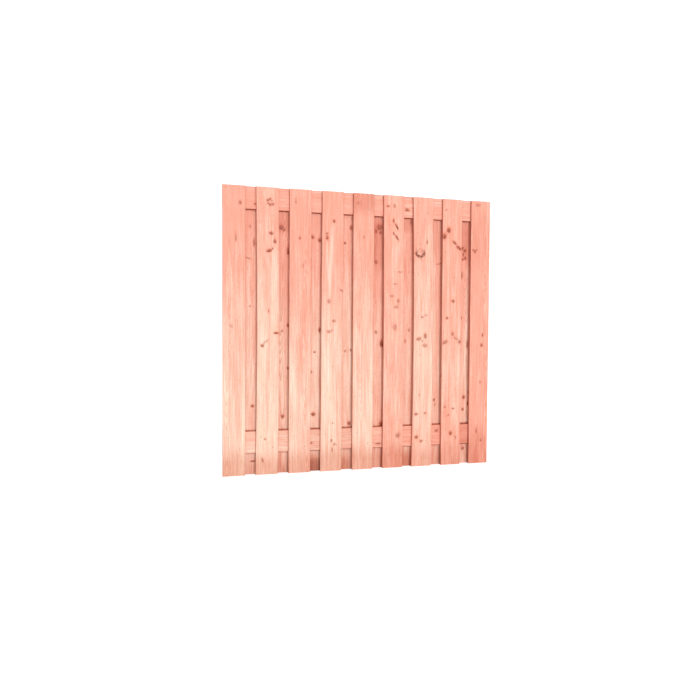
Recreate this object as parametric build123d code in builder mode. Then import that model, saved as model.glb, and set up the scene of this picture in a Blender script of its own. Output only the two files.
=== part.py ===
"""A plank fence panel, 1.8 m square, nailed up from planed Douglas fir boards.

Two level rails are held between two layers of upright planks. The front layer has
nine planks with a gap of about half a plank between them, and the back layer has
eight planks that stand behind those gaps, so nobody sees through the panel although
the wind gets past it. The top rail is flush with the tops of the planks, and the
bottom rail sits about a plank's width above their feet.

X runs along the panel, Y from its front to its back and Z up. The origin is on the
ground, midway along the panel and in the middle of the rails' thickness.
All sizes are in millimetres.
"""

import os

from build123d import *

# The whole panel
panel_width = 1800.0
panel_height = 1800.0

# Upright planks
front_plank_count = 9
plank_width = 140.0
plank_thickness = 15.0

# Rails
rail_width = 140.0
rail_thickness = 15.0
bottom_rail_height = 135.0  # from the planks' feet to the rail's lower edge

# The long edges of every board are eased
arris = 2.0

# Wire nails with a flat countersunk head, driven flush through a plank into its rail.
# Eight sides stand for round ones, which keeps a panel with so many nails light.
nail_head_diameter = 5.5
nail_head_depth = 1.6
nail_shank_diameter = 2.4
nail_point_length = 3.5
nail_sides = 8
nail_edge_distance = 35.0  # from a nail to the long edges of the plank and of the rail
nail_cover = 2.0  # wood left between a nail's point and the rail's far face
nail_clearance = 0.05  # round the shank and under the point

# Boards are seldom quite straight, or nailed on quite plumb. For each front plank that
# isn't, counted from the left: how far its foot and its top stand to the right of the
# even spacing, and how far its middle bows out to the right of its ends.
front_plank_set = {
    2: (-5.0, -3.0, 8.0),
    3: (-4.0, 0.0, 0.0),
    4: (-5.0, 2.0, 0.0),
    6: (0.0, -3.0, 4.0),
    7: (-3.0, -5.0, 10.0),
    8: (2.0, -1.0, 0.0),
}
straight = (0.0, 0.0, 0.0)

# Worked out from the sizes above
pitch = (panel_width - plank_width) / (front_plank_count - 1)
back_plank_count = front_plank_count - 1
top_rail_centre = panel_height - rail_width / 2
bottom_rail_centre = bottom_rail_height + rail_width / 2
nail_length = plank_thickness + rail_thickness - nail_cover
nail_from_middle = plank_width / 2 - nail_edge_distance
nail_from_centre = rail_width / 2 - nail_edge_distance

# The rails' two faces, each looking outwards, with the planks' heights as its Y axis.
# Seen from behind, the back layer is laid out from left to right as the front one is.
front_seat = Plane(
    origin=(0, -rail_thickness / 2, 0), x_dir=(1, 0, 0), z_dir=(0, -1, 0)
)
back_seat = Plane(
    origin=(0, rail_thickness / 2, 0), x_dir=(-1, 0, 0), z_dir=(0, 1, 0)
)


def across(middle, setting, height):
    """Where a plank's middle line is at a height: leaning, and bowed as a shallow arch."""
    foot, top, bow = setting
    share = height / panel_height
    return middle + foot + (top - foot) * share + 4 * bow * share * (1 - share)


def nail_points(middle, setting):
    """The four nails of one plank: at each rail, one high on the left and one low on the right."""
    points = []
    for rail_centre in (bottom_rail_centre, top_rail_centre):
        for side in (-1, 1):
            height = rail_centre - side * nail_from_centre
            points.append(
                (across(middle, setting, height) + side * nail_from_middle, height)
            )
    return points


def long_edge(middle, setting):
    """One long edge of a plank's outline, straight or as a shallow arc."""
    foot = (across(middle, setting, 0), 0)
    halfway = (across(middle, setting, panel_height / 2), panel_height / 2)
    top = (across(middle, setting, panel_height), panel_height)
    if setting[2]:
        return ThreePointArc(foot, halfway, top)
    return Line(foot, top)


def make_nail(clearance):
    """A nail below the origin, its head level with it; with a clearance, the hole it sits in."""
    shank_radius = nail_shank_diameter / 2 + clearance
    point_start = nail_point_length - nail_length
    with BuildPart() as nail:
        with BuildSketch():
            RegularPolygon(nail_head_diameter / 2, nail_sides)
        with BuildSketch(Plane.XY.offset(-nail_head_depth)):
            RegularPolygon(shank_radius, nail_sides)
        loft()
        with BuildSketch(Plane.XY.offset(point_start)) as shank_end:
            RegularPolygon(shank_radius, nail_sides)
        extrude(amount=-nail_head_depth - point_start)
        loft([shank_end.sketch, Vertex(0, 0, -nail_length - clearance)])
    return nail.part


def make_plank(seat, middle, setting, hole):
    """One upright plank on a rail face, with its long edges eased and its nail holes."""
    with BuildPart() as plank:
        with BuildSketch(seat):
            with BuildLine():
                left = long_edge(middle - plank_width / 2, setting)
                right = long_edge(middle + plank_width / 2, setting)
                Line(left @ 0, right @ 0)
                Line(left @ 1, right @ 1)
            make_face()
        extrude(amount=plank_thickness)
        chamfer(plank.edges().sort_by(SortBy.LENGTH)[-4:], length=arris)
        with Locations(seat.offset(plank_thickness)):
            with Locations(*nail_points(middle, setting)):
                add(hole, mode=Mode.SUBTRACT)
    return plank.part


def make_rail(centre, hole, front_points, back_points):
    """One rail, a board on edge as long as the panel, with the ends of its nails' holes."""
    with BuildPart() as rail:
        with BuildSketch(Plane.YZ):
            with Locations((0, centre)):
                section = Rectangle(rail_thickness, rail_width)
            chamfer(section.vertices(), length=arris)
        extrude(amount=panel_width / 2, both=True)
        for seat, points in ((front_seat, front_points), (back_seat, back_points)):
            near = [p for p in points if abs(p[1] - centre) < rail_width / 2]
            with Locations(seat.offset(plank_thickness)):
                with Locations(*near):
                    add(hole, mode=Mode.SUBTRACT)
    return rail.part


def make_nails(seat, nail, points):
    """All the nails of one layer of planks, each a solid of its own."""
    with BuildPart() as nails:
        with Locations(seat.offset(plank_thickness)):
            with Locations(*points):
                add(nail)
    return nails.part


def save(part, label):
    """Names a finished piece and writes its STEP file."""
    part.label = label
    export_step(part, f"parts/{label}.step")


os.makedirs("parts", exist_ok=True)
nail = make_nail(0.0)
hole = make_nail(nail_clearance)

# Front planks, left to right, from edge to edge of the panel
front_points = []
for number in range(1, front_plank_count + 1):
    setting = front_plank_set.get(number, straight)
    middle = (number - 1) * pitch - (panel_width - plank_width) / 2
    save(make_plank(front_seat, middle, setting, hole), f"front_plank_{number}")
    front_points += nail_points(middle, setting)

# Back planks, each behind a gap of the front layer
back_points = []
for number in range(1, back_plank_count + 1):
    middle = (number - 1) * pitch - (back_plank_count - 1) * pitch / 2
    save(make_plank(back_seat, middle, straight, hole), f"back_plank_{number}")
    back_points += nail_points(middle, straight)

save(make_rail(top_rail_centre, hole, front_points, back_points), "top_rail")
save(make_rail(bottom_rail_centre, hole, front_points, back_points), "bottom_rail")

save(make_nails(front_seat, nail, front_points), "front_nails")
save(make_nails(back_seat, nail, back_points), "back_nails")
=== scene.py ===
# %% [markdown]
# # A plank fence panel
#
# The panel is made of nineteen planed Douglas fir boards and sixty-eight nails. The CAD
# model says how long, how wide and how crooked each board is, so this script only has to
# make the boards look like wood. It goes in this order: the frame and its sizes, the
# shape of a board, what grew inside each board, the finishes, and the studio.
#
# Every length is in metres unless its name or comment says otherwise.

import bpy
import numpy as np
from mathutils import Matrix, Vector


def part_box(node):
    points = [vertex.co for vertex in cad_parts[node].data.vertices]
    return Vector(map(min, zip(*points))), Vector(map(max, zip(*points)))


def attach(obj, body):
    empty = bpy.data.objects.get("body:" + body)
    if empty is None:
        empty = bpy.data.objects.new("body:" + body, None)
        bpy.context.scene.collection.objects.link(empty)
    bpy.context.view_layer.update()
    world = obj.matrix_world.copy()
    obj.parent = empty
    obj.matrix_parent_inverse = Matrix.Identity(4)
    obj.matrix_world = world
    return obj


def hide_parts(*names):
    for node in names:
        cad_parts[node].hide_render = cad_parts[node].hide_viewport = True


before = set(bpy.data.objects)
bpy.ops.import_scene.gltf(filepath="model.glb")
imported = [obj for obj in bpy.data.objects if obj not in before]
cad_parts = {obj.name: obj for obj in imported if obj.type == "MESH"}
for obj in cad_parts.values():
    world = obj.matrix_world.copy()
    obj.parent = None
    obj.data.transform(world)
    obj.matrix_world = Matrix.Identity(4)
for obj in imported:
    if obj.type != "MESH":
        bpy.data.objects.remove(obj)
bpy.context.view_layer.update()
MM = 0.001

# %% [markdown]
# ## Sizes read from the frame
#
# A straight plank's box gives the width, length and thickness of every board, because
# they are all sawn from the same stock. A crooked plank needs more than its box: its
# middle line is a shallow arch between its foot and its top. It could be typed in again
# from the drawing, but it is safer to read it from the plank that is already there.

# %% Sizes and middle lines
low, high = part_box("front_plank_1")
plank_width, plank_thickness, panel_height = high - low
rail_low, rail_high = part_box("top_rail")
rail_length, rail_thickness, rail_width = rail_high - rail_low


def middle_line(node):
    """How far right a plank's middle is at its foot and top, and how far it bows between.

    The foot and top are halfway between the outermost points at each end. The bow is what
    the box reaches to the right beyond half a width and the mean of the two ends.
    """
    points = np.array([v.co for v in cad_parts[node].data.vertices])
    x, z = points[:, 0], points[:, 2]
    foot = x[z < MM]
    top = x[z > panel_height - MM]
    foot = (foot.min() + foot.max()) / 2
    top = (top.min() + top.max()) / 2
    reach = x.max() - plank_width / 2
    bow = reach - (foot + top) / 2 if reach > max(foot, top) + MM else 0.0
    return foot, top, bow


plank_size = (plank_width, plank_thickness, panel_height)
rail_size = (rail_width, rail_thickness, rail_length)
print("a plank is", [round(size / MM, 1) for size in plank_size], "mm")
print("the most crooked plank, in mm", [round(v / MM, 1) for v in middle_line("front_plank_7")])

# %% [markdown]
# ## The shape of a board
#
# A planed board is a flat section with rounded corners, carried along a line. The section
# could be swept by a curve object, but then nothing could be said about the wood inside.
# Here the whole surface is worked out as two arrays: a loop of points round the section,
# and rows of that loop along the board. The grid is fine enough to carry the growth rings
# and the knots, which come next, as values on its points.

# %% The section and the grid
arris_radius = 2.5 * MM      # the planer's rounding of the long edges
face_step = 4.0 * MM         # across the board's two wide faces
row_step = 7.5 * MM          # along the board
arris_steps = 3


def half_section(width, thickness):
    """Points from the middle of the left edge over the front face to the middle of the right.

    Two quarter circles of arris_radius join the edges to an evenly divided face.
    """
    inner_x = width / 2 - arris_radius
    inner_y = thickness / 2 - arris_radius
    turn = np.linspace(0, np.pi / 2, arris_steps + 1)
    corner = arris_radius * np.stack([np.cos(turn), np.sin(turn)], 1)
    left = -np.array([inner_x, inner_y]) - corner
    columns = int(round(2 * inner_x / face_step))
    face_x = np.linspace(-inner_x, inner_x, columns + 1)[1:-1]
    face = np.stack([face_x, np.full(len(face_x), -thickness / 2)], 1)
    right = left[::-1] * [-1, 1]
    edge = np.array([[width / 2, 0.0]])
    return np.concatenate([edge * [-1, 1], left, face, right, edge])


def board_grid(width, thickness, length):
    """Local points of a board, rows by loop, as (across, through, along), and its faces.

    The back half of the loop mirrors the front half. Each end is closed by a ladder of
    faces between the two halves.
    """
    half = half_section(width, thickness)
    loop = np.concatenate([half, half[-2:0:-1] * [1, -1]])
    rows = int(round(length / row_step)) + 1
    along = np.linspace(0, length, rows)
    points = np.empty((rows, len(loop), 3))
    points[..., :2] = loop
    points[..., 2] = along[:, None]

    size = len(loop)
    i, j = np.meshgrid(np.arange(rows - 1), np.arange(size), indexing="ij")
    a, b = i * size + j, i * size + (j + 1) % size
    sides = np.stack([a, b, b + size, a + size], -1).reshape(-1, 4)

    k = np.arange(1, len(half) - 2)
    rungs = np.stack([k, size - k, size - k - 1, k + 1], -1)
    last = len(half) - 1
    tips = np.array([[0, size - 1, 1], [last - 1, last + 1, last]])
    end = (rows - 1) * size
    quads = np.concatenate([sides, rungs, rungs[:, ::-1] + end])
    triangles = np.concatenate([tips, tips[:, ::-1] + end])
    caps = 2 * len(rungs)
    return points, quads, triangles, caps


grid, quads, triangles, caps = board_grid(*plank_size)
print("a plank's grid is", grid.shape[0], "rows of", grid.shape[1], "points")

# %% [markdown]
# ## What grew inside the boards
#
# A growth ring is a thin cone round the pith of the log, so on a sawn face the rings show
# as long lines, or as nested arches where the saw ran nearly flat to them. Any image of
# wood could be stretched over the board, but it would not agree with its edges and ends.
# Instead each board remembers where its pith was. The ring number of a point is its
# distance from the pith divided by the width of a ring, and the pith wanders a little
# along the log, which is what draws the arches.

# %% Ring numbers
# The pith wanders in two sine waves across the board and two through it. Each is how far
# it reaches, in mm, and how fast it turns, in radians per metre of the board.
wander_across = ((12, 3.6), (3, 9.7))
wander_through = ((14, 2.6), (2.5, 11.0))


def ring_numbers(points, pith, ring_width, phases):
    """The distance from a wandering pith, in rings.

    The pith's place across and through the board is its mean place plus two slow sine
    waves along the board. phases holds where the four waves start.
    """
    across, through, along = np.moveaxis(points, -1, 0)
    waves = [reach * MM * np.sin(speed * along + phase)
             for (reach, speed), phase in zip(wander_across + wander_through, phases)]
    pith_across = pith[0] + waves[0] + waves[1]
    pith_depth = pith[1] + waves[2] + waves[3]
    return np.hypot(across - pith_across, through - pith_depth) / ring_width


sample = ring_numbers(grid, (0.0, 40 * MM), 3 * MM, (0, 0, 0, 0))
print("rings crossed on a board with its pith 40 mm behind it:", round(float(np.ptp(sample))))

# %% [markdown]
# A knot is the foot of a branch, and it goes right through the board. The grain flows
# round it as water flows round a stone. The flow round a round post is a known formula:
# each streamline is pushed aside by the post's radius squared over the distance. The same
# push is given to the point at which the rings are read, and it is stretched along the
# board, because wood fibres only bend slowly.
#
# Each point also remembers where it lies from its nearest knot, in knot radii. That is a
# straight-line measure, so it stays exact between the points of a coarse grid, and the
# material can draw a sharp knot from it.

# %% Knots
flow_stretch = 2.6       # how much longer than wide the flow round a knot is
knot_reach = 4.0         # in knot radii, where a knot's halo has ended
knot_fade = 1.5          # in knot radii, over which that end fades
knot_parting = 1.2       # in knot radii, how much nearer a knot must be to count in full
solid_knot = 10.8        # in mm of half width, up to which a knot is dark all over
rim_knot = 22.8          # in mm of half width, from which only its rim is left
ragged_knot = 8          # in mm of half width, up to which its outline wanders most


def knot_values(points, knots):
    """Where each point lies from its nearest knot, how it looks, and the grain's push.

    A knot is (across, along, half width, half length, darkness, slant in degrees), in mm
    apart from the last two. The first result holds the place in knot radii and a share
    that falls to nothing halfway to the next knot, so that neighbours never mix. The
    second holds how dark the rim is, how dark the middle is and how ragged the outline.
    """
    across, along = points[..., 0], points[..., 2]
    best = np.full(across.shape, 1e3)
    second = np.full(across.shape, 1e3)
    place = np.zeros(across.shape + (3,))
    dark = np.zeros(across.shape + (3,))
    push = np.zeros(across.shape)
    for at, up, half_width, half_length, darkness, slant in knots:
        right, above = across - at * MM, along - up * MM
        cosine, sine = np.cos(np.radians(slant)), np.sin(np.radians(slant))
        p = (right * cosine + above * sine) / (half_width * MM)
        q = (above * cosine - right * sine) / (half_length * MM)
        far = np.hypot(p, q)
        near = far < best
        second = np.where(near, best, np.minimum(second, far))
        best = np.where(near, far, best)
        place[..., 0] = np.where(near, p, place[..., 0])
        place[..., 1] = np.where(near, q, place[..., 1])
        filled = darkness * np.clip((rim_knot - half_width) / (rim_knot - solid_knot), 0.05, 1)
        ragged = np.clip(ragged_knot / half_width, 0.2, 1)
        dark = np.where(near[..., None], (darkness, filled, ragged), dark)
        flow = right**2 + (above / flow_stretch) ** 2
        radius = half_width * MM
        push += darkness * right * np.minimum(1.0, radius**2 / np.maximum(flow, radius**2))
    apart = np.clip((second - best) / knot_parting, 0, 1)
    place[..., 2] = apart * np.clip((knot_reach - best) / knot_fade, 0, 1)
    return place, dark, push


_, _, push = knot_values(grid, [(0, 900, 12, 12, 1.0, 0)])
print("a knot 24 mm wide pushes the grain aside by", round(float(push.max()) / MM, 1), "mm")


# %% [markdown]
# ## The boards of this panel
#
# What follows is what a joiner would chalk on each board: its knots, how pale it is, and
# where it has a strip of sapwood. Part of that paleness is a painted pool of light. Douglas
# fir's heartwood is salmon pink, and its sapwood, the outermost wood of the tree, is a pale
# cream.
#
# The knots' places are chosen to match the real panel where it shows. The rest of a back
# plank or a rail stands behind others, so its knots are strewn by chance from a fixed
# seed.

# %% Knots that show on the front planks
# across from the middle, up from the foot, half width, half length, darkness, slant
front_knots = {
    1: [(37, 1697, 6, 9, 0.7, 0), (12, 1482, 4, 20, 0.45, 0), (-16, 935, 5, 8, 0.25, 0)],
    2: [(2, 1722, 6, 4, 0.8, 0), (16, 1728, 5, 5, 0.8, 30), (27, 1718, 4, 4, 0.5, 0),
        (4, 1700, 5, 6, 0.9, 20), (15, 1692, 7, 5, 0.9, 0), (32, 1697, 7, 6, 0.7, -20),
        (21, 1517, 9, 8, 0.8, 0), (42, 1468, 6, 11, 0.8, 0), (8, 1408, 12, 7, 1.0, 20),
        (27, 1419, 5, 6, 0.8, 0), (49, 893, 10, 5, 1.0, 0), (-38, 815, 7, 9, 0.8, 30),
        (-20, 836, 15, 5, 0.45, 35),
        (2, 1031, 3, 10, 0.5, 0), (-14, 226, 4, 6, 0.5, 0), (-27, 93, 5, 12, 0.5, 10)],
    3: [(-5, 1494, 5, 8, 0.6, 0), (-31, 1725, 4, 14, 0.35, 0), (16, 1319, 8, 13, 0.2, 0)],
    4: [(8, 1612, 7, 8, 0.8, 0), (-38, 1531, 6, 6, 0.6, 0), (-37, 1503, 6, 10, 0.8, 0),
        (63, 1167, 12, 4, 0.6, -35), (-22, 1100, 9, 11, 0.4, 0), (12, 973, 9, 7, 0.45, 0),
        (-21, 905, 10, 8, 0.45, 0), (-2, 912, 6, 5, 0.4, 0), (9, 312, 5, 4, 0.4, 0),
        (3, 200, 4, 8, 0.6, 0),
        (23, 175, 5, 6, 0.5, 0), (8, 140, 4, 12, 0.4, 0)],
    5: [(1, 1520, 4, 9, 0.4, 0), (-38, 1738, 9, 8, 0.2, 0)],
    6: [(-41, 1729, 8, 6, 0.6, 0), (4, 1732, 5, 10, 0.6, 0), (-3, 1634, 5, 10, 0.9, 0),
        (17, 1600, 5, 17, 0.9, 28), (-1, 1552, 5, 9, 0.8, 20), (18, 1528, 5, 16, 0.9, 30),
        (43, 1301, 14, 3, 0.6, 0), (9, 1221, 10, 3, 0.5, 0), (-12, 1141, 9, 4, 0.6, -8),
        (31, 1110, 7, 11, 0.5, 0), (17, 1070, 11, 8, 0.4, 0), (6, 936, 12, 16, 0.35, 20),
        (36, 217, 10, 15, 0.5, 0)],
    7: [(-25, 1434, 28, 26, 1.0, 8),
        (24, 1507, 4, 10, 0.6, 0), (-10, 1005, 6, 5, 0.5, 0), (17, 1019, 4, 6, 0.35, 0),
        (-33, 860, 13, 9, 0.55, 10), (13, 880, 8, 14, 0.6, 0), (-9, 846, 5, 6, 0.4, 0),
        (9, 816, 12, 11, 0.5, 0), (-25, 482, 3, 9, 0.4, 0), (-45, 354, 9, 7, 0.6, 0),
        (19, 359, 6, 6, 0.5, 0), (-40, 199, 8, 8, 0.8, 0), (-4, 170, 8, 6, 0.6, 15)],
    8: [(-45, 1727, 5, 5, 0.4, 0), (-26, 1594, 9, 12, 1.0, 0), (-57, 1551, 9, 14, 1.0, 0),
        (18, 1508, 7, 14, 0.9, 42), (46, 1478, 7, 19, 0.9, 52), (10, 1117, 9, 7, 0.7, 0),
        (-33, 1001, 6, 7, 0.7, 0), (9, 893, 7, 11, 0.6, 0), (-46, 838, 14, 9, 0.7, 35),
        (36, 863, 17, 7, 0.55, -30), (61, 842, 8, 11, 0.65, 0), (-43, 396, 6, 4, 0.5, 0),
        (19, 384, 6, 5, 0.7, 0), (-17, 340, 6, 4, 0.5, 0), (-1, 216, 8, 10, 0.8, 0),
        (37, 188, 5, 8, 0.4, 0)],
    9: [(-20, 1774, 14, 8, 0.4, 0), (-49, 1465, 7, 4, 0.9, -20), (-34, 1465, 6, 4, 0.9, 20),
        (-42, 1454, 4, 7, 0.9, 0), (25, 887, 5, 9, 0.8, 0),
        (19, 818, 6, 10, 0.8, 0), (11, 562, 6, 9, 0.3, 0), (-14, 228, 4, 18, 0.5, 0),
        (21, 159, 5, 6, 0.6, 0)],
}
print(sum(len(knots) for knots in front_knots.values()), "knots on the front planks")

# %% Knots of the back planks and rails
# Back plank 1 is the first on the left for somebody behind the panel, so it comes last here.
back_knots = {
    8: [(-3, 1559, 5, 10, 0.3, 0), (22, 1458, 5, 20, 0.6, 0), (-14, 1360, 13, 4, 0.4, -15),
        (-3, 1061, 5, 5, 0.4, 0), (13, 432, 7, 7, 0.8, 0), (15, 83, 12, 4, 0.9, 0)],
    7: [(-16, 1560, 11, 13, 0.8, 20), (3, 1546, 5, 12, 0.7, -30), (28, 1415, 6, 20, 0.9, 0),
        (-9, 906, 6, 6, 0.4, 0), (29, 944, 5, 9, 0.8, 0), (30, 670, 5, 7, 0.7, 0),
        (-4, 363, 8, 8, 0.7, 0)],
    6: [(-25, 1509, 9, 9, 0.8, 0), (27, 1492, 9, 9, 0.9, 0), (26, 914, 5, 12, 0.9, 0),
        (-6, 772, 5, 5, 0.6, 0), (-14, 370, 9, 9, 0.9, 0), (-28, 645, 4, 8, 0.5, 0)],
    5: [(25, 1579, 6, 11, 0.8, 0), (-15, 1480, 5, 6, 0.8, 0), (40, 1242, 4, 4, 0.9, 0),
        (-10, 778, 5, 6, 0.5, 0), (27, 784, 5, 6, 0.7, 0), (20, 304, 7, 9, 0.9, 0)],
    4: [(12, 1594, 13, 15, 0.8, 0), (-12, 1566, 7, 10, 0.6, 0), (19, 1560, 6, 9, 0.8, 0),
        (-11, 1365, 8, 10, 0.6, 0), (31, 828, 9, 17, 0.9, 0), (33, 290, 11, 12, 1.0, 0),
        (-7, 903, 8, 8, 0.5, 0)],
    3: [(24, 1639, 4, 12, 0.4, 0), (-11, 844, 3, 10, 0.6, 0), (17, 918, 6, 9, 0.4, 0)],
    2: [(21, 1367, 16, 3, 0.6, 10), (-4, 444, 5, 7, 0.9, 0), (2, 415, 3, 13, 0.5, 0),
        (45, 605, 5, 7, 0.7, 0)],
    1: [(-14, 1480, 6, 9, 0.9, 0), (3, 1464, 8, 7, 0.9, 0), (-9, 1437, 5, 8, 0.8, 0),
        (6, 1413, 7, 9, 0.9, 0), (-11, 1404, 5, 6, 0.8, 0), (-16, 1297, 4, 17, 0.7, 0),
        (-19, 1003, 5, 8, 0.5, 0), (28, 822, 5, 20, 0.6, 0), (7, 457, 6, 8, 1.0, 0),
        (0, 374, 6, 7, 0.9, 0), (41, 415, 5, 10, 1.0, 0), (4, 103, 9, 10, 0.7, 0)],
}
rail_knots = {
    "top_rail": [(-16, 1201, 7, 12, 0.8, 0), (-35, 200, 4, 6, 0.7, 0), (22, 1597, 4, 5, 0.5, 0)],
    "bottom_rail": [(-42, 1012, 4, 16, 0.8, 0), (-20, 560, 6, 9, 0.5, 0),
                    (30, 1430, 7, 10, 0.6, 0)],
}


def add_hidden_knots(rng, knots, across, along):
    """Adds knots of chance size and darkness at the given hidden places, all in mm."""
    sizes = rng.uniform(4, 9, len(across))
    longer = rng.uniform(1.0, 1.6, len(across))
    darkness = rng.uniform(0.4, 0.9, len(across))
    return knots + [(x, z, size, size * ratio, dark, 0.0)
                    for x, z, size, ratio, dark in zip(across, along, sizes, longer, darkness)]


print(sum(len(knots) for knots in back_knots.values()), "knots on the back planks")


# %% [markdown]
# The panel is paler low down than at the top, with the change between knee height and
# head height, and more so on its left than on its right. That is partly the wood's own
# tone and partly a painted pool of light, low on the left, and the feet are darker again.
# Each board gets its paleness at the top and low down: 0 is the full salmon pink of
# heartwood, 1 is a pale peach, and 2 is the cream of sapwood, the outermost wood of the
# tree. Streaks change that along part of the board: a streak is (across, half width, from,
# to, change), and stains are (height, reach, strength), all lengths in mm.

# %% Paleness
# Paleness at the top and low down is partly the wood's own tone and partly a painted pool of light,
# low on the left.
front_paleness = {
    1: (-0.12, 1.05), 2: (0.20, 1.05), 3: (-0.08, 0.85), 4: (-0.15, 1.02), 5: (-0.05, 0.85),
    6: (0.08, 0.35), 7: (0.22, 0.70), 8: (-0.05, 0.42), 9: (-0.12, -0.05),
}
back_paleness = {
    8: (0.00, 0.75), 7: (-0.20, 0.70), 6: (0.05, 0.90), 5: (0.20, 0.90),
    4: (-0.30, 0.55), 3: (0.00, 0.50), 2: (-0.10, 0.60), 1: (-0.30, 0.65),
}
rail_paleness = {"top_rail": (0.05, 0.15), "bottom_rail": (0.80, -0.25)}
front_streaks = {
    1: [(56, 15, -200, 620, 0.68), (-18, 6, 860, 1100, 0.48), (-45, 12, 600, 1500, 0.17),
        (0, 90, 620, 760, -1.1)],
    2: [(-38, 26, 60, 1250, 0.31), (2, 9, 250, 1250, -0.24), (32, 20, 100, 1400, 0.31),
        (63, 7, -100, 1700, -0.24)],
    3: [(-46, 24, 60, 820, 0.51), (40, 28, 0, 1850, -0.1), (0, 90, 700, 900, -0.8)],
    4: [(-14, 12, 1180, 1560, 0.41), (-28, 36, 100, 1300, 0.24), (52, 18, 150, 1250, -0.27)],
    5: [(47, 22, 60, 760, 0.54), (-12, 12, 650, 1000, 0.24), (0, 90, 620, 720, -0.9)],
    6: [(0, 26, 1150, 1500, 0.27), (-20, 14, 300, 800, 0.14)],
    7: [(8, 28, 500, 1400, 0.27), (48, 14, 250, 950, 0.34), (-30, 10, 100, 500, 0.2)],
    8: [(-20, 16, 500, 1400, 0.14), (40, 14, 100, 700, 0.1)],
    9: [(50, 12, 900, 1500, 0.2), (-15, 20, 300, 900, 0.07)],
}
back_streaks = {
    8: [(-10, 14, 700, 1500, 0.2)], 7: [(0, 12, 500, 800, 0.4)], 6: [(0, 18, 450, 900, 0.4)],
    5: [(10, 12, 400, 1300, 0.5)], 4: [(10, 10, 800, 1250, 0.5)], 3: [(15, 12, 500, 800, 0.4)],
    2: [(-10, 8, 700, 1500, 0.4)], 1: [(20, 12, 500, 1600, 0.4)],
}
front_stains = {
    1: [(0, 230, 0.65)], 2: [(0, 160, 0.7)], 3: [(0, 190, 0.55)], 4: [(0, 220, 0.6)],
    5: [(0, 200, 0.65), (1800, 190, 0.55)], 6: [(0, 220, 0.75)], 7: [(0, 160, 0.5)],
    8: [(0, 200, 0.7)], 9: [(0, 300, 0.8), (1500, 300, 0.25)],
}
back_stains = {
    8: [(0, 150, 0.5)], 7: [(0, 150, 0.7), (1590, 90, 0.6)], 6: [(0, 160, 1.45)],
    5: [(0, 160, 1.1)], 4: [(0, 160, 0.8), (1480, 250, 0.9)],
    3: [(0, 160, 1.0), (1620, 70, 0.5)], 2: [(0, 160, 0.7), (1560, 160, 0.3)],
    1: [(0, 170, 0.15), (1530, 220, 0.6)],
}
rail_stains = {"top_rail": [(0, 60, 0.2)], "bottom_rail": [(700, 300, 0.35), (1750, 420, 0.6)]}
rail_corner_shade = (277.5, 8, 1.7)      # painted shade in the corner just above the bottom rail, on the planks' faces against the rails
streak_count = sum(len(streaks) for streaks in front_streaks.values())
print(streak_count, "streaks on the front planks")

# %% Lay the tones on a board
pale_from, pale_to = 0.28, 0.9   # as shares of a board's length
streak_lead, streak_tail = 200, 330  # in mm, half the length over which a streak comes and goes
sway_reach, sway_length = 5, 160     # in mm, how a narrow streak sways along the board
narrow_streak = 20                   # in mm of half width


def smooth(low, high, value):
    """0 below low, 1 above high, and an S curve between."""
    share = np.clip((value - low) / (high - low), 0, 1)
    return share * share * (3 - 2 * share)


def tones(points, length, paleness, streaks, stains):
    """Paleness and stain at each point of a board.

    The paleness goes from its low value to its top value between knee height and the
    height of a head. A streak narrows like a flame towards its ends, where it fades away,
    and a stain is a smooth bump.
    """
    across, along = points[..., 0] / MM, points[..., 2] / MM
    top, bottom = paleness
    # The paler wood low down is partly the wood's own tone and partly a painted pool of light.
    pale = bottom + (top - bottom) * smooth(pale_from, pale_to, points[..., 2] / length)
    for at, half_width, start, stop, change in streaks:
        begun = smooth(start - streak_lead, start + streak_lead, along)
        ended = smooth(stop - streak_tail, stop + streak_tail, along)
        ends = begun * (1 - ended)
        half = half_width * (0.3 + 0.7 * ends)
        sway = sway_reach * np.sin(along / sway_length + at) * (half_width < narrow_streak)
        side = 1 - smooth(0.6 * half, 1.3 * half + 2, np.abs(across - at - sway))
        pale = pale + change * side * ends
    stain_and_shade = np.zeros(along.shape)
    for at, reach, strength in stains:
        bump = 1 - smooth(0.3 * reach, reach, np.abs(along - at))
        stain_and_shade = np.maximum(stain_and_shade, strength * bump)
    return pale, stain_and_shade


pale, stain_and_shade = tones(grid, panel_height, front_paleness[1], front_streaks[1], front_stains[1])
print("front plank 1 goes from", round(float(pale.max()), 2), "to", round(float(pale.min()), 2))

# %% [markdown]
# ## Making the boards
#
# Each board's mesh is built where the CAD board is, and takes its place. Its values go
# onto its points as attributes, which the wood material reads by name: the place within
# the board, the ring number, the nearest knot, and the tones. The place is shifted by a
# different amount on each board, so that no two boards have the same fine grain.
#
# A nail that is driven flush dents the wood round its head. Those dents are a third of a
# millimetre deep, so they are pressed into the grid itself, before the nails are made.

# %% Where the nails go
nail_edge_distance = 35 * MM
dent_depth = 0.35 * MM
dent_flat, dent_end = 4 * MM, 8 * MM     # from the nail's axis


def nail_spots(outward):
    """The (across, along) of a plank's four nails, for a layer that faces -Y or +Y.

    At each rail one nail is high on the plank's left, seen from outside, and one is low on
    its right, both nail_edge_distance from the long edges of the plank and of the rail.
    """
    spots = []
    for rail in ("bottom_rail", "top_rail"):
        low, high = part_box(rail)
        for side in (-1, 1):
            across = side * -outward * (plank_width / 2 - nail_edge_distance)
            up = (low.z + high.z) / 2 - side * (rail_width / 2 - nail_edge_distance)
            spots.append((across, up))
    return spots


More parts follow.
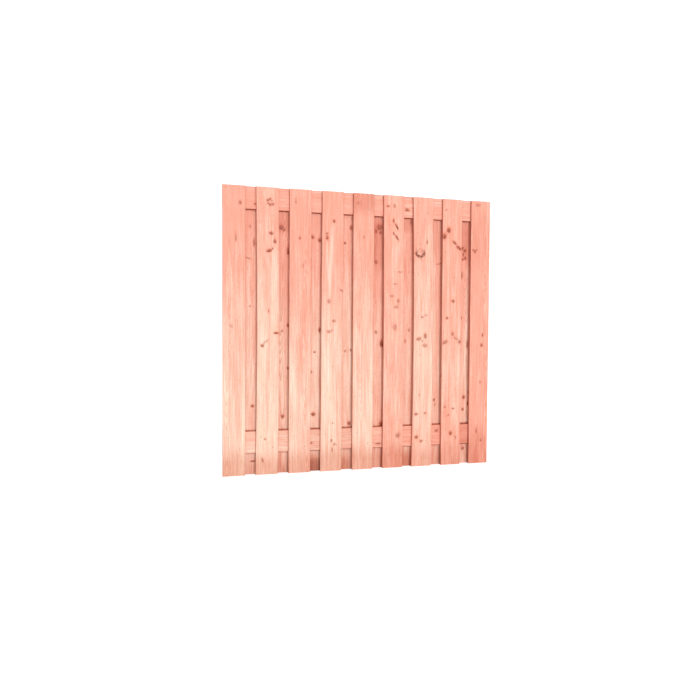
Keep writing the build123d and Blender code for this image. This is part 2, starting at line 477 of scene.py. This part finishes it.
def press_dents(local, outward):
    """Lowers the outer face round each nail: by dent_depth up to dent_flat, then less.

    The depth falls along an S curve, and is nothing from dent_end on.
    """
    outside = local[..., 1] * outward > plank_thickness / 2 - 0.1 * MM
    for across, up in nail_spots(outward):
        distance = np.hypot(local[..., 0] - across, local[..., 2] - up)
        depth = dent_depth * (1 - smooth(dent_flat, dent_end, distance))
        local[..., 1] -= np.where(outside, outward * depth, 0.0)


print("nails from in front, in mm", [(round(x / MM), round(z / MM)) for x, z in nail_spots(-1)])

# %% Helpers for a mesh
sharp_angle = np.radians(50)     # an edge that is turned by more than this stays crisp


def set_values(mesh, name, kind, values):
    """Stores one value per point on a mesh, under a name that a material can read."""
    attribute = mesh.attributes.new(name, kind, "POINT")
    field = "value" if kind == "FLOAT" else "vector"
    attribute.data.foreach_set(field, np.ascontiguousarray(values, np.float32).ravel())


def put_in_scene(name, data, place=Matrix()):
    """An object that shows a mesh, a lamp or a camera, at the origin unless placed."""
    holder = bpy.data.objects.new(name, data)
    holder.matrix_world = place
    bpy.context.scene.collection.objects.link(holder)
    return holder


print("edges stay crisp from", round(float(np.degrees(sharp_angle))), "degrees")

# %% Build one board
first_seed = 1000
grain_shift = np.array([0.31, 0.17, 1.9])    # from one board's grain to the next one's


def painted_shade_at_edges(local, stain_and_shade, width, edge_shade, inner):
    """Adds painted shade on the narrow edges, and on the face toward the rails just above the
    bottom rail.
    """
    flat_half = width / 2 - arris_radius
    beyond = np.abs(local[..., 0]) - flat_half
    # Painted shade: the narrow edges, and 2 mm of each face beside them, are darkened.
    stain_and_shade = stain_and_shade + edge_shade * np.clip((beyond + 2 * MM) / arris_radius, 0, 1)
    # Painted shade: a dark line in the corner just above the bottom rail, on the faces against the
    # rails.
    at, reach, strength = rail_corner_shade
    dirt_and_shade = strength * (1 - smooth(0.3 * reach, reach, np.abs(local[..., 2] / MM - at)))
    stain_and_shade = np.where(local[..., 1] * inner > 0, np.maximum(stain_and_shade, dirt_and_shade), stain_and_shade)
    # Painted shade: edge marks the narrow edges, which the wood material darkens.
    edge = np.clip(beyond / arris_radius, 0, 1) ** 2
    return stain_and_shade, edge


def build_board(name, number, size, to_world, knots, tone, growth, inner=0, edge_shade=0.2):
    """One board as a closed surface, with all that its wood material needs.

    size is (width, thickness, length), tone is (paleness, streaks, stains), and growth is
    where its pith was and its rings' width, in mm, and how strongly they show. inner is the
    side that lies on the rails, -1 or 1, and edge_shade is the painted shade on the narrow
    edges.
    """
    rng = np.random.default_rng(first_seed + number)
    local, quads, triangles, caps = board_grid(*size)
    if inner:
        press_dents(local, -inner)
    place, dark, push = knot_values(local, knots)
    bent = local.copy()
    bent[..., 0] -= push
    pith_across, pith_depth, ring_width, ring_strength = growth
    phases = rng.uniform(0, 2 * np.pi, 4)
    rings = ring_numbers(bent, (pith_across * MM, pith_depth * MM), ring_width * MM, phases)
    pale, stain_and_shade = tones(local, size[2], *tone)
    # The painted shade on the narrow edges and above the bottom rail joins the stains here.
    stain_and_shade, edge = painted_shade_at_edges(local, stain_and_shade, size[0], edge_shade, inner)
    strength = np.full(pale.shape, ring_strength)

    mesh = bpy.data.meshes.new(name)
    points = to_world(local).reshape(-1, 3)
    mesh.from_pydata(points.tolist(), [], quads.tolist() + triangles.tolist())
    set_values(mesh, "place", "FLOAT_VECTOR", local + grain_shift * number)
    set_values(mesh, "rings", "FLOAT", rings)
    set_values(mesh, "knot", "FLOAT_VECTOR", place)
    set_values(mesh, "dark", "FLOAT_VECTOR", dark)
    set_values(mesh, "tone", "FLOAT_VECTOR", np.stack([pale, stain_and_shade, strength], -1))
    set_values(mesh, "edge", "FLOAT", edge)

    # The ends get the sawn finish, and the long faces are shaded smooth up to them.
    finish = np.zeros(len(mesh.polygons), np.int32)
    finish[len(quads) - caps:] = 1
    mesh.polygons.foreach_set("material_index", finish)
    mesh.polygons.foreach_set("use_smooth", finish == 0)
    mesh.set_sharp_from_angle(angle=sharp_angle)
    mesh.update()
    return put_in_scene(name, mesh)


print("a board's own seed is", first_seed, "and its number")

# %% Where each board stands
def plank_place(node):
    """A function that carries a plank's local points onto its middle line and its layer."""
    foot, top, bow = middle_line(node)
    low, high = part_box(node)
    layer = (low.y + high.y) / 2

    def to_world(local):
        share = local[..., 2] / panel_height
        middle = foot + (top - foot) * share + 4 * bow * share * (1 - share)
        return np.stack([middle + local[..., 0], layer + local[..., 1], local[..., 2]], -1)

    return to_world


def rail_place(node):
    """A function that lays a rail's local points along X, with their across pointing up."""
    low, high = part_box(node)
    centre = (low.z + high.z) / 2

    def to_world(local):
        return np.stack([low.x + local[..., 2], -local[..., 1], centre + local[..., 0]], -1)

    return to_world


foot_middle = plank_place("front_plank_2")(np.zeros(3))
print("the second front plank's foot is at", [round(float(v) / MM, 1) for v in foot_middle], "mm")

# %% [markdown]
# Where the pith was decides how a board looks. Far to one side of the board, it leaves
# fine straight lines, and behind the middle of the board it leaves arches. The pith is
# given as (across, depth) in mm, then the width of a ring and how strongly it shows.

# %% Front planks
front_growth = {
    1: (-35, 42, 3.0, 0.55), 2: (120, 30, 2.6, 0.5), 3: (32, 46, 3.2, 0.6),
    4: (-125, 40, 2.6, 0.45), 5: (-22, 62, 2.8, 0.45), 6: (110, 52, 2.5, 0.45),
    7: (-105, 34, 2.8, 0.5), 8: (130, 60, 2.4, 0.5), 9: (45, 58, 3.0, 0.6),
}
boards = {}
for count, knots in front_knots.items():
    node = f"front_plank_{count}"
    tone = (front_paleness[count], front_streaks[count], front_stains[count])
    boards[node] = build_board(node + "_board", count, plank_size, plank_place(node), knots,
                               tone, front_growth[count], inner=1)
print(len(boards), "boards of", len(boards["front_plank_1"].data.polygons), "faces each")

# %% Back planks
back_growth = {
    8: (95, 40, 2.6, 0.5), 7: (-6, 36, 3.4, 1.0), 6: (-90, 45, 2.8, 0.5),
    5: (100, 40, 2.6, 0.5), 4: (-70, 50, 2.8, 0.6), 3: (85, -40, 2.4, 0.6),
    2: (-95, 35, 2.6, 0.6), 1: (15, 60, 2.8, 0.6),
}
hidden_knots = 6                 # on each back plank
hidden_across = (46, 62)         # in mm from its middle, where the front planks cover it
hidden_along = (60, 1740)

number = len(boards)
for count, knots in back_knots.items():
    number += 1
    node = f"back_plank_{count}"
    rng = np.random.default_rng(number)
    across = rng.choice([-1, 1], hidden_knots) * rng.uniform(*hidden_across, hidden_knots)
    knots = add_hidden_knots(rng, knots, across, rng.uniform(*hidden_along, hidden_knots))
    tone = (back_paleness[count], back_streaks[count], back_stains[count])
    boards[node] = build_board(node + "_board", number, plank_size, plank_place(node), knots,
                               tone, back_growth[count], inner=-1)
print(len(boards), "boards with the back planks")

# %% Rails
rail_growth = {"top_rail": (110, 30, 2.8, 0.5), "bottom_rail": (-95, 35, 3.0, 0.5)}
rail_edge_shade = 1.2                 # painted shade on a rail's upper and lower edges
plank_pitch = (rail_length - plank_width) / (len(front_knots) - 1)

for node, knots in rail_knots.items():
    number += 1
    rng = np.random.default_rng(number)
    behind = rng.choice(len(front_knots), 4, replace=False) * plank_pitch + plank_width / 2
    across = rng.uniform(-50, 50, 4)
    knots = add_hidden_knots(rng, knots, across, behind / MM + rng.uniform(-40, 40, 4))
    tone = (rail_paleness[node][::-1], [], rail_stains[node])
    boards[node] = build_board(node + "_board", number, rail_size, rail_place(node), knots,
                               tone, rail_growth[node], edge_shade=rail_edge_shade)
print(len(boards), "boards with the rails")

# %% [markdown]
# ## The nails
#
# Fence panels are put together with stainless wire nails, driven flush by machine. Only
# their heads show, each in its dent. A cylinder would do from far off, but a nail is a
# profile spun about its axis here, with a slightly domed head that catches the light. Two
# of them hold each crossing, on a slant so that the pair keeps the panel square.

# %% Spin the nails
nail_sides = 16
nail_profile = np.array([
    (0.0, 0.0), (1.4, 0.03), (2.4, 0.08), (2.75, 0.2), (2.75, 0.7),
    (1.2, 1.8), (1.2, 24.3), (0.0, 27.8),
]) * MM                      # radius from the axis, depth under the top of the head


def spin_nails(name, heads, inward):
    """Nails at the given head centres: the profile turned through a full circle.

    The first and last points lie on the axis, and each closes with a fan of triangles.
    """
    around = np.arange(nail_sides)
    after = (around + 1) % nail_sides
    turn = around * 2 * np.pi / nail_sides
    rim = nail_profile[1:-1]
    ring_x = rim[:, :1] * np.cos(turn)
    ring_z = rim[:, :1] * np.sin(turn)
    ring_y = np.repeat(rim[:, 1:], nail_sides, 1) * inward
    ring = np.stack([ring_x, ring_y, ring_z], -1).reshape(-1, 3)
    ends = np.array([[0, 0, 0], [0, nail_profile[-1, 1] * inward, 0]])
    nail = np.concatenate([ring, ends])
    points = (heads[:, None, :] + nail).reshape(-1, 3)

    i, j = np.meshgrid(np.arange(len(rim) - 1), around, indexing="ij")
    a, b = i * nail_sides + j, i * nail_sides + after[j]
    walls = np.stack([a, a + nail_sides, b + nail_sides, b], -1).reshape(-1, 4)
    head_centre, tip = len(ring), len(ring) + 1
    bottom = (len(rim) - 1) * nail_sides
    top_fan = np.stack([np.full(nail_sides, head_centre), around, after], -1)
    tip_fan = np.stack([np.full(nail_sides, tip), bottom + after, bottom + around], -1)
    fans = np.concatenate([top_fan, tip_fan])
    if inward < 0:
        walls, fans = walls[:, ::-1], fans[:, ::-1]
    step = np.arange(len(heads))[:, None, None] * len(nail)
    faces = (walls + step).reshape(-1, 4).tolist() + (fans + step).reshape(-1, 3).tolist()
    mesh = bpy.data.meshes.new(name)
    mesh.from_pydata(points.tolist(), [], faces)
    mesh.polygons.foreach_set("use_smooth", np.ones(len(faces), bool))
    mesh.set_sharp_from_angle(angle=sharp_angle)
    return put_in_scene(name, mesh)


def nail_heads(layer, count, outward):
    """The head centres of a layer's nails, level with the outer face of its planks."""
    heads = []
    for plank in range(1, count + 1):
        to_world = plank_place(f"{layer}_plank_{plank}")
        for across, up in nail_spots(outward):
            heads.append(to_world(np.array([across, outward * plank_thickness / 2, up])))
    return np.array(heads)


nails = {}
for layer, count, outward in (("front", len(front_knots), -1), ("back", len(back_knots), 1)):
    heads = nail_heads(layer, count, outward)
    nails[layer + "_nails"] = spin_nails(layer + "_nail_heads", heads, -outward)
    low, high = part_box(layer + "_nails")
    reach = heads[:, 0].min() - nail_profile[:, 0].max() - low.x
    print(len(heads), layer, "nails, off the CAD ones by", round(reach / MM, 2), "mm")

# %% [markdown]
# ## Colours and nodes
#
# Colours are picked as they look on a screen, as sRGB hex values, while a renderer adds up
# light, so one function turns them to linear. A second small function adds a shader node
# and fills its inputs, either with values or with the outputs of other nodes. Nodes could
# also be wired by hand in Blender's editor, but then nobody could read why.

# %% Colour and node helpers
def linear(hex_colour):
    """An sRGB hex colour as linear red, green and blue, with an alpha of 1."""
    channels = np.array([int(hex_colour[i:i + 2], 16) for i in (1, 3, 5)]) / 255
    low_part = channels / 12.92
    high_part = ((channels + 0.055) / 1.055) ** 2.4
    return (*np.where(channels <= 0.04045, low_part, high_part).tolist(), 1.0)


def add(tree, kind, *values, out=0, inputs={}, **settings):
    """Adds a node with its settings, fills its inputs, and returns one of its outputs.

    The values go into the first inputs in order, and inputs holds others by name or place.
    """
    node = tree.nodes.new("ShaderNode" + kind)
    for key, value in settings.items():
        setattr(node, key, value)
    for key, value in [*enumerate(values), *inputs.items()]:
        if isinstance(value, bpy.types.NodeSocket):
            tree.links.new(value, node.inputs[key])
        else:
            node.inputs[key].default_value = value
    return node.outputs[out]


def new_material(name):
    """A material made with nodes, as (material, its node tree, its shader)."""
    material = bpy.data.materials.new(name)
    material.use_nodes = True
    return material, material.node_tree, material.node_tree.nodes["Principled BSDF"]


SMOOTH = dict(interpolation_type="SMOOTHSTEP")
COLOURS = dict(out=2, data_type="RGBA")      # for a Mix node that mixes colours
A, B = 6, 7                                  # and the places of its two colour inputs
print("mid grey is", [round(c, 3) for c in linear("#808080")])

# %% [markdown]
# ## Planed Douglas fir
#
# Douglas fir that has been through a planer is matt, with a faint sheen on the hard
# latewood lines. From a step away the eye sees salmon pink with long paler and redder
# streaks, closer by it sees the rings, and closest of all the fibres, which are a tenth
# of a millimetre thick. They are drawn here six times as coarse, or they would be lost.
#
# Everything is mixed from the values on the points. The layers go on as they do in the
# tree: heartwood and sapwood, whose paleness is partly painted light, then rings, knots,
# stains and painted shade, and at last the fibres that the planer cut.

# %% Wood colours and grain
HEART_PINK = linear("#ecaa96")
HEART_PALE = linear("#f0cdba")
SAPWOOD = linear("#f5e2ce")
LATEWOOD_TINT = linear("#edd8cf")
GRAIN_TINT = linear("#f3dfd5")
# The stain and dirt tints also lay on painted shade, and the edge tint is painted shade on the
# narrow edges.
STAIN_AND_SHADE_TINT = linear("#dfb09f")
DIRT_AND_SHADE_TINT = linear("#a0624f")
EDGE_SHADE_TINT = linear("#e8c9bd")
PITCH_TINT = linear("#c39c8a")
HALO_TINT = linear("#eebcab")
KNOT_RED = linear("#b05f46")
KNOT_BROWN = linear("#7b341f")
WOOD_IOR = 1.45
grain_sizes = {                  # width and length in mm, and how much detail
    "fibre": (0.6, 30, 3.0), "pitch": (2.2, 34, 2.0), "grain": (4.5, 170, 4.0),
    "mottle": (7, 16, 2.0), "streak": (18, 700, 3.0), "patch": (60, 240, 3.0),
}
outline_size = (7, 9, 3.0)       # how a knot's outline wanders
bark_size = (9, 9, 1.0)          # how the bark round it breaks off


def along_grain(tree, place, width, length, detail):
    """A noise stretched along the board, with features of that width and length in mm."""
    across, along = 1 / (width * MM), 1 / (length * MM)
    stretched = add(tree, "Mapping", place, inputs={"Scale": (across, across, along)})
    return add(tree, "TexNoise", stretched, inputs={"Scale": 1.0, "Detail": detail})


print(len(grain_sizes), "grains, from", grain_sizes["fibre"][0], "mm wide")


# %% Rings and grain
swings = (("streak", 1.7), ("patch", 1.4), ("grain", 0.8), ("mottle", 0.8))


def grown_layers(tree, grains, rings, pale, ring_strength):
    """What shows on wood without knots, as (share, colour, mode), and the latewood."""
    # Paleness runs from pink over peach to cream, and each grain shifts it to and fro.
    for name, swing in swings:
        shift = add(tree, "Math", grains[name], swing, -0.5 * swing, operation="MULTIPLY_ADD")
        pale = add(tree, "Math", pale, shift, operation="ADD")
    paler = add(tree, "Math", pale, 1.0, operation="SUBTRACT", use_clamp=True)
    pale = add(tree, "Math", pale, 0.0, operation="ADD", use_clamp=True)

    # A ring darkens slowly through its summer and ends in a sharp line.
    season = add(tree, "Math", grains["patch"], 0.9, rings, operation="MULTIPLY_ADD")
    season = add(tree, "Math", season, operation="FRACT")
    summer = add(tree, "MapRange", season, 0.3, 0.9, 0.0, 1.0, **SMOOTH)
    winter = add(tree, "MapRange", season, 0.92, 1.0, ring_strength, 0.0, **SMOOTH)
    late = add(tree, "Math", summer, winter, operation="MULTIPLY")

    # Redder grain, and short dark lines where pitch has gathered.
    red_grain = add(tree, "MapRange", grains["grain"], 0.72, 0.3, 0.0, 1.0, **SMOOTH)
    pitch = add(tree, "MapRange", grains["pitch"], 0.65, 0.75, 0.0, 1.0, **SMOOTH)
    layers = [
        (pale, HEART_PALE, "MIX"), (paler, SAPWOOD, "MIX"), (late, LATEWOOD_TINT, "MULTIPLY"),
        (red_grain, GRAIN_TINT, "MULTIPLY"), (pitch, PITCH_TINT, "MULTIPLY"),
    ]
    return layers, late


print("the grains shift the paleness by at most", sum(swing for _, swing in swings) / 2)

# %% Knots in the wood
branch_turn = 12.0               # radians of ring per knot radius


def knot_layers(tree, place, knot, dark):
    """A knot's halo, branch and bark, as (share, colour, mode), and the bark."""
    knot_right, knot_up, knot_near = knot
    knot_dark, knot_filled, knot_ragged = dark

    # Its outline wanders. far is the distance from its middle in knot radii.
    ragged = along_grain(tree, place, *outline_size)
    ragged = add(tree, "Math", ragged, 2.0, -1.0, operation="MULTIPLY_ADD")
    ragged = add(tree, "Math", ragged, knot_ragged, operation="MULTIPLY")
    flat = add(tree, "CombineXYZ", knot_right, knot_up)
    radius = add(tree, "VectorMath", flat, out="Value", operation="LENGTH")
    far = add(tree, "Math", radius, ragged, operation="ADD")
    knot_dark = add(tree, "Math", knot_dark, knot_near, operation="MULTIPLY")
    knot_filled = add(tree, "Math", knot_filled, knot_near, operation="MULTIPLY")
    halo = add(tree, "MapRange", far, 2.8, 0.8, 0.0, knot_filled, **SMOOTH)

    # The branch inside it has its own rings.
    branch = add(tree, "MapRange", far, 1.25, 0.75, 0.0, knot_filled, **SMOOTH)
    turns = add(tree, "Math", far, branch_turn, operation="MULTIPLY")
    turns = add(tree, "Math", turns, operation="SINE")
    turns = add(tree, "MapRange", turns, -1.0, 1.5, 0.0, 0.8)
    branch_colour = add(tree, "Mix", turns, inputs={A: KNOT_RED, B: KNOT_BROWN}, **COLOURS)

    # Bark lies round it in a broken line, and more of it under the branch than above.
    broken = along_grain(tree, place, *bark_size)
    broken = add(tree, "MapRange", broken, 0.34, 0.5, 0.0, knot_dark, **SMOOTH)
    under = add(tree, "MapRange", knot_up, -0.2, 0.8, 1.0, 0.15, **SMOOTH)
    off_rim = add(tree, "Math", far, 1.0, operation="SUBTRACT")
    off_rim = add(tree, "Math", off_rim, operation="ABSOLUTE")
    bark = add(tree, "MapRange", off_rim, 0.5, 0.15, 0.0, broken, **SMOOTH)
    bark = add(tree, "Math", bark, under, operation="MULTIPLY")
    layers = [
        (halo, HALO_TINT, "MULTIPLY"), (branch, branch_colour, "MIX"), (bark, KNOT_BROWN, "MIX"),
    ]
    return layers, bark


print("a branch has a ring every", round(2 * np.pi / branch_turn, 2), "of its radius")

# %% Stains, dirt and painted shade
def weather_and_shade_layers(tree, patch, stain_and_shade, edge):
    """Stains in blotches, a dark tint where stain and painted shade pass 1, and painted shade on
    the narrow edges.
    """
    blotch = add(tree, "MapRange", patch, 0.3, 0.6, 0.4, 1.0, **SMOOTH)
    blotch = add(tree, "Math", blotch, stain_and_shade, operation="MULTIPLY")
    dirt_and_shade = add(tree, "Math", stain_and_shade, 1.0, operation="SUBTRACT", use_clamp=True)
    # The stain and dirt tints here also carry painted shade, and the edge tint is painted shade.
    return [
        (blotch, STAIN_AND_SHADE_TINT, "MULTIPLY"), (dirt_and_shade, DIRT_AND_SHADE_TINT, "MULTIPLY"),
        (edge, EDGE_SHADE_TINT, "MULTIPLY"),
    ]


print("the strongest stain is", rail_corner_shade[2], "and what is above 1 is dirt")


# %% Planed faces
def planed_fir():
    """Planed Douglas fir, which the values on a board's points turn into that board."""
    material, tree, shader = new_material("planed_douglas_fir")
    place = add(tree, "Attribute", attribute_name="place", out="Vector")
    rings = add(tree, "Attribute", attribute_name="rings", out="Fac")
    edge = add(tree, "Attribute", attribute_name="edge", out="Fac")
    parts = []
    for name in ("knot", "dark", "tone"):
        values = add(tree, "Attribute", attribute_name=name, out="Vector")
        parts.append(list(add(tree, "SeparateXYZ", values).node.outputs))
    knot, dark, (pale, stain_and_shade, ring_strength) = parts
    grains = {name: along_grain(tree, place, *size) for name, size in grain_sizes.items()}

    # All the layers, the innermost first.
    grown, late = grown_layers(tree, grains, rings, pale, ring_strength)
    knotty, bark = knot_layers(tree, place, knot, dark)
    weathered_and_shaded = weather_and_shade_layers(tree, grains["patch"], stain_and_shade, edge)
    wood = HEART_PINK
    for share, colour, mode in grown + knotty + weathered_and_shaded:
        wood = add(tree, "Mix", share, inputs={A: wood, B: colour}, blend_type=mode, **COLOURS)

    # The fibres lighten and darken everything by a few percent.
    shade = add(tree, "MapRange", grains["fibre"], 0.25, 0.75, 0.92, 1.05)
    wood = add(tree, "Mix", 1.0, inputs={A: wood, B: shade}, blend_type="MULTIPLY", **COLOURS)
    tree.links.new(wood, shader.inputs["Base Color"])

    # Latewood is harder, so it is left a little prouder and smoother than the rest.
    rough = add(tree, "MapRange", late, 0.0, 1.0, 0.68, 0.5)
    tree.links.new(rough, shader.inputs["Roughness"])
    relief = add(tree, "Math", late, 0.6, grains["fibre"], operation="MULTIPLY_ADD")
    relief = add(tree, "Math", bark, -1.5, relief, operation="MULTIPLY_ADD")
    bump = add(tree, "Bump", inputs={"Height": relief, "Distance": 0.12 * MM, "Strength": 0.6})
    tree.links.new(bump, shader.inputs["Normal"])
    shader.inputs["IOR"].default_value = WOOD_IOR
    return material


fir = planed_fir()
print("planed fir has", len(fir.node_tree.nodes), "nodes")

# %% [markdown]
# ## Sawn ends
#
# A board's end is cross-cut by a saw. It soaks up dirt and damp, so it is darker and duller
# than the faces. It could be a crop of the same finish, but a saw leaves no knife marks. So
# it is a finish of its own, in which the same ring numbers show as arcs, because they
# belong to the whole log, under the fine scratches of the saw.

# %% End finish
END_WOOD = linear("#d9957f")
END_LATEWOOD = linear("#b57460")
saw_size = (1.2, 1.2, 3.0)       # the saw's scratches: width and length in mm, and detail


def sawn_fir():
    """Cross-cut Douglas fir: the rings as arcs, with saw marks a millimetre or so apart."""
    material, tree, shader = new_material("sawn_douglas_fir")
    place = add(tree, "Attribute", attribute_name="place", out="Vector")
    rings = add(tree, "Attribute", attribute_name="rings", out="Fac")
    season = add(tree, "Math", rings, operation="FRACT")
    late = add(tree, "MapRange", season, 0.3, 0.95, 0.0, 1.0, **SMOOTH)
    marks = along_grain(tree, place, *saw_size)
    shade = add(tree, "MapRange", marks, 0.3, 0.7, 0.85, 1.05)
    wood = add(tree, "Mix", late, inputs={A: END_WOOD, B: END_LATEWOOD}, **COLOURS)
    wood = add(tree, "Mix", 1.0, inputs={A: wood, B: shade}, blend_type="MULTIPLY", **COLOURS)
    tree.links.new(wood, shader.inputs["Base Color"])
    bump = add(tree, "Bump", inputs={"Height": marks, "Distance": 0.2 * MM, "Strength": 0.7})
    tree.links.new(bump, shader.inputs["Normal"])
    shader.inputs["Roughness"].default_value = 0.85
    shader.inputs["IOR"].default_value = WOOD_IOR
    return material


ends = sawn_fir()
print("sawn fir has", len(ends.node_tree.nodes), "nodes")

# %% [markdown]
# ## Stainless wire
#
# The nails are drawn and headed from stainless wire. It stays bright grey, and the machine
# that shapes the head leaves it dull, so it reflects the studio as a soft glow. The heads
# are too small for a scratch to show, so an uneven roughness is all that they get.

# %% Nail finish
STAINLESS = linear("#908a84")
die_size = (0.8, 0.8, 2.0)       # the unevenness that the heading die leaves


def stainless_wire():
    """Dull stainless steel, with a little unevenness from the heading die."""
    material, tree, shader = new_material("stainless_wire")
    shader.inputs["Base Color"].default_value = STAINLESS
    shader.inputs["Metallic"].default_value = 1.0
    place = add(tree, "TexCoord", out="Object")
    die = along_grain(tree, place, *die_size)
    rough = add(tree, "MapRange", die, 0.3, 0.7, 0.38, 0.6)
    tree.links.new(rough, shader.inputs["Roughness"])
    return material


wire = stainless_wire()
print("stainless wire has", len(wire.node_tree.nodes), "nodes")

# %% [markdown]
# ## Putting the pieces on the frame
#
# Nothing on a fence panel moves, so every piece rides on the one body, and each stands for
# the CAD node in whose place it lies.

# %% Dress the frame
for node, piece in boards.items():
    piece.data.materials.append(fir)
    piece.data.materials.append(ends)
    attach(piece, "root")
    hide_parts(node)
for node, piece in nails.items():
    piece.data.materials.append(wire)
    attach(piece, "root")
    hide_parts(node)
print("dressed", sorted(boards) + sorted(nails))

# %% [markdown]
# ## The studio
#
# The panel stands in a white studio. One wide lamp in front of it on the right, not much
# higher than the panel, gives the light its direction, so that the left edge of each front
# plank falls dark. A sun lamp with a wide angle does that evenly from top to foot. The
# world gives the rest, less from the front than from behind, and the camera sees it white.

# %% Floor
FLOOR_GREY = linear("#d0d0d0")
WHITE = (1.0, 1.0, 1.0, 1.0)
floor_glow = 0.6                 # seen by the camera only, so that it lights nothing
floor_half = 60.0


def pale_floor():
    """A matt pale studio floor, wide enough to reach the horizon of the picture."""
    material, tree, shader = new_material("white_studio_floor")
    shader.inputs["Base Color"].default_value = FLOOR_GREY
    shader.inputs["Roughness"].default_value = 0.9
    shader.inputs["Emission Color"].default_value = WHITE
    seen = add(tree, "LightPath", out="Is Camera Ray")
    glow = add(tree, "Math", seen, floor_glow, operation="MULTIPLY")
    tree.links.new(glow, shader.inputs["Emission Strength"])
    corners = [(x * floor_half, y * floor_half, 0) for x, y in ((-1, -1), (1, -1), (1, 1), (-1, 1))]
    mesh = bpy.data.meshes.new("floor")
    mesh.from_pydata(corners, [], [(0, 1, 2, 3)])
    mesh.materials.append(material)
    return put_in_scene("floor", mesh)


floor = pale_floor()
print("the floor is", 2 * floor_half, "m wide")


# %% Light
def wide_sun(name, right, up, spread, strength):
    """A sun lamp shining from that many degrees right of straight ahead, and up."""
    lamp = bpy.data.lights.new(name, "SUN")
    lamp.angle = np.radians(spread)
    lamp.energy = strength
    aim = Matrix.Rotation(np.radians(right), 4, "Z") @ Matrix.Rotation(np.radians(90 - up), 4, "X")
    return put_in_scene(name, lamp, aim)


def studio_world(front, behind):
    """A white surround that lights the panel less from the front than from behind."""
    world = bpy.data.worlds.new("studio")
    world.use_nodes = True
    tree = world.node_tree
    facing = add(tree, "SeparateXYZ", add(tree, "TexCoord", out="Generated"), out="Y")
    light = add(tree, "MapRange", facing, -0.1, 0.5, front, behind, **SMOOTH)
    seen = add(tree, "LightPath", out="Is Camera Ray")
    light = add(tree, "Math", light, seen, operation="MAXIMUM")
    background = tree.nodes["Background"]
    background.inputs["Color"].default_value = WHITE
    tree.links.new(light, background.inputs["Strength"])
    bpy.context.scene.world = world


studio_world(front=0.87, behind=1.2)
key = wide_sun("key", right=12, up=18, spread=24, strength=1.8)
bpy.context.scene.view_settings.view_transform = "Standard"
print("the key lamp is", round(float(np.degrees(key.data.angle))), "degrees wide")

# %% [markdown]
# ## The camera
#
# The camera stands left of the middle at the height of a person's waist, and looks a
# little to the right and a very little down. Its place and lens were worked out from the
# edges of the planks, which are straight, level or upright, and of known size. Moving it
# by eye would have been quicker, but never as exact.

# %% Camera
camera_place = (-1.0645, -3.7596, 0.9126)
lens = 30.58                 # in mm, on a sensor 36 mm wide
turn_right, look_down, tip_over = 14.64, 1.89, 0.37      # in degrees

camera = bpy.data.cameras.new("camera")
camera.lens = lens
camera.sensor_width = 36.0
camera.clip_end = 200.0
bpy.context.scene.camera = put_in_scene("camera", camera, (
    Matrix.Translation(camera_place)
    @ Matrix.Rotation(np.radians(-turn_right), 4, "Z")
    @ Matrix.Rotation(np.radians(90 - look_down), 4, "X")
    @ Matrix.Rotation(np.radians(tip_over), 4, "Z")
))
print("the camera is", camera_place[2], "m up")
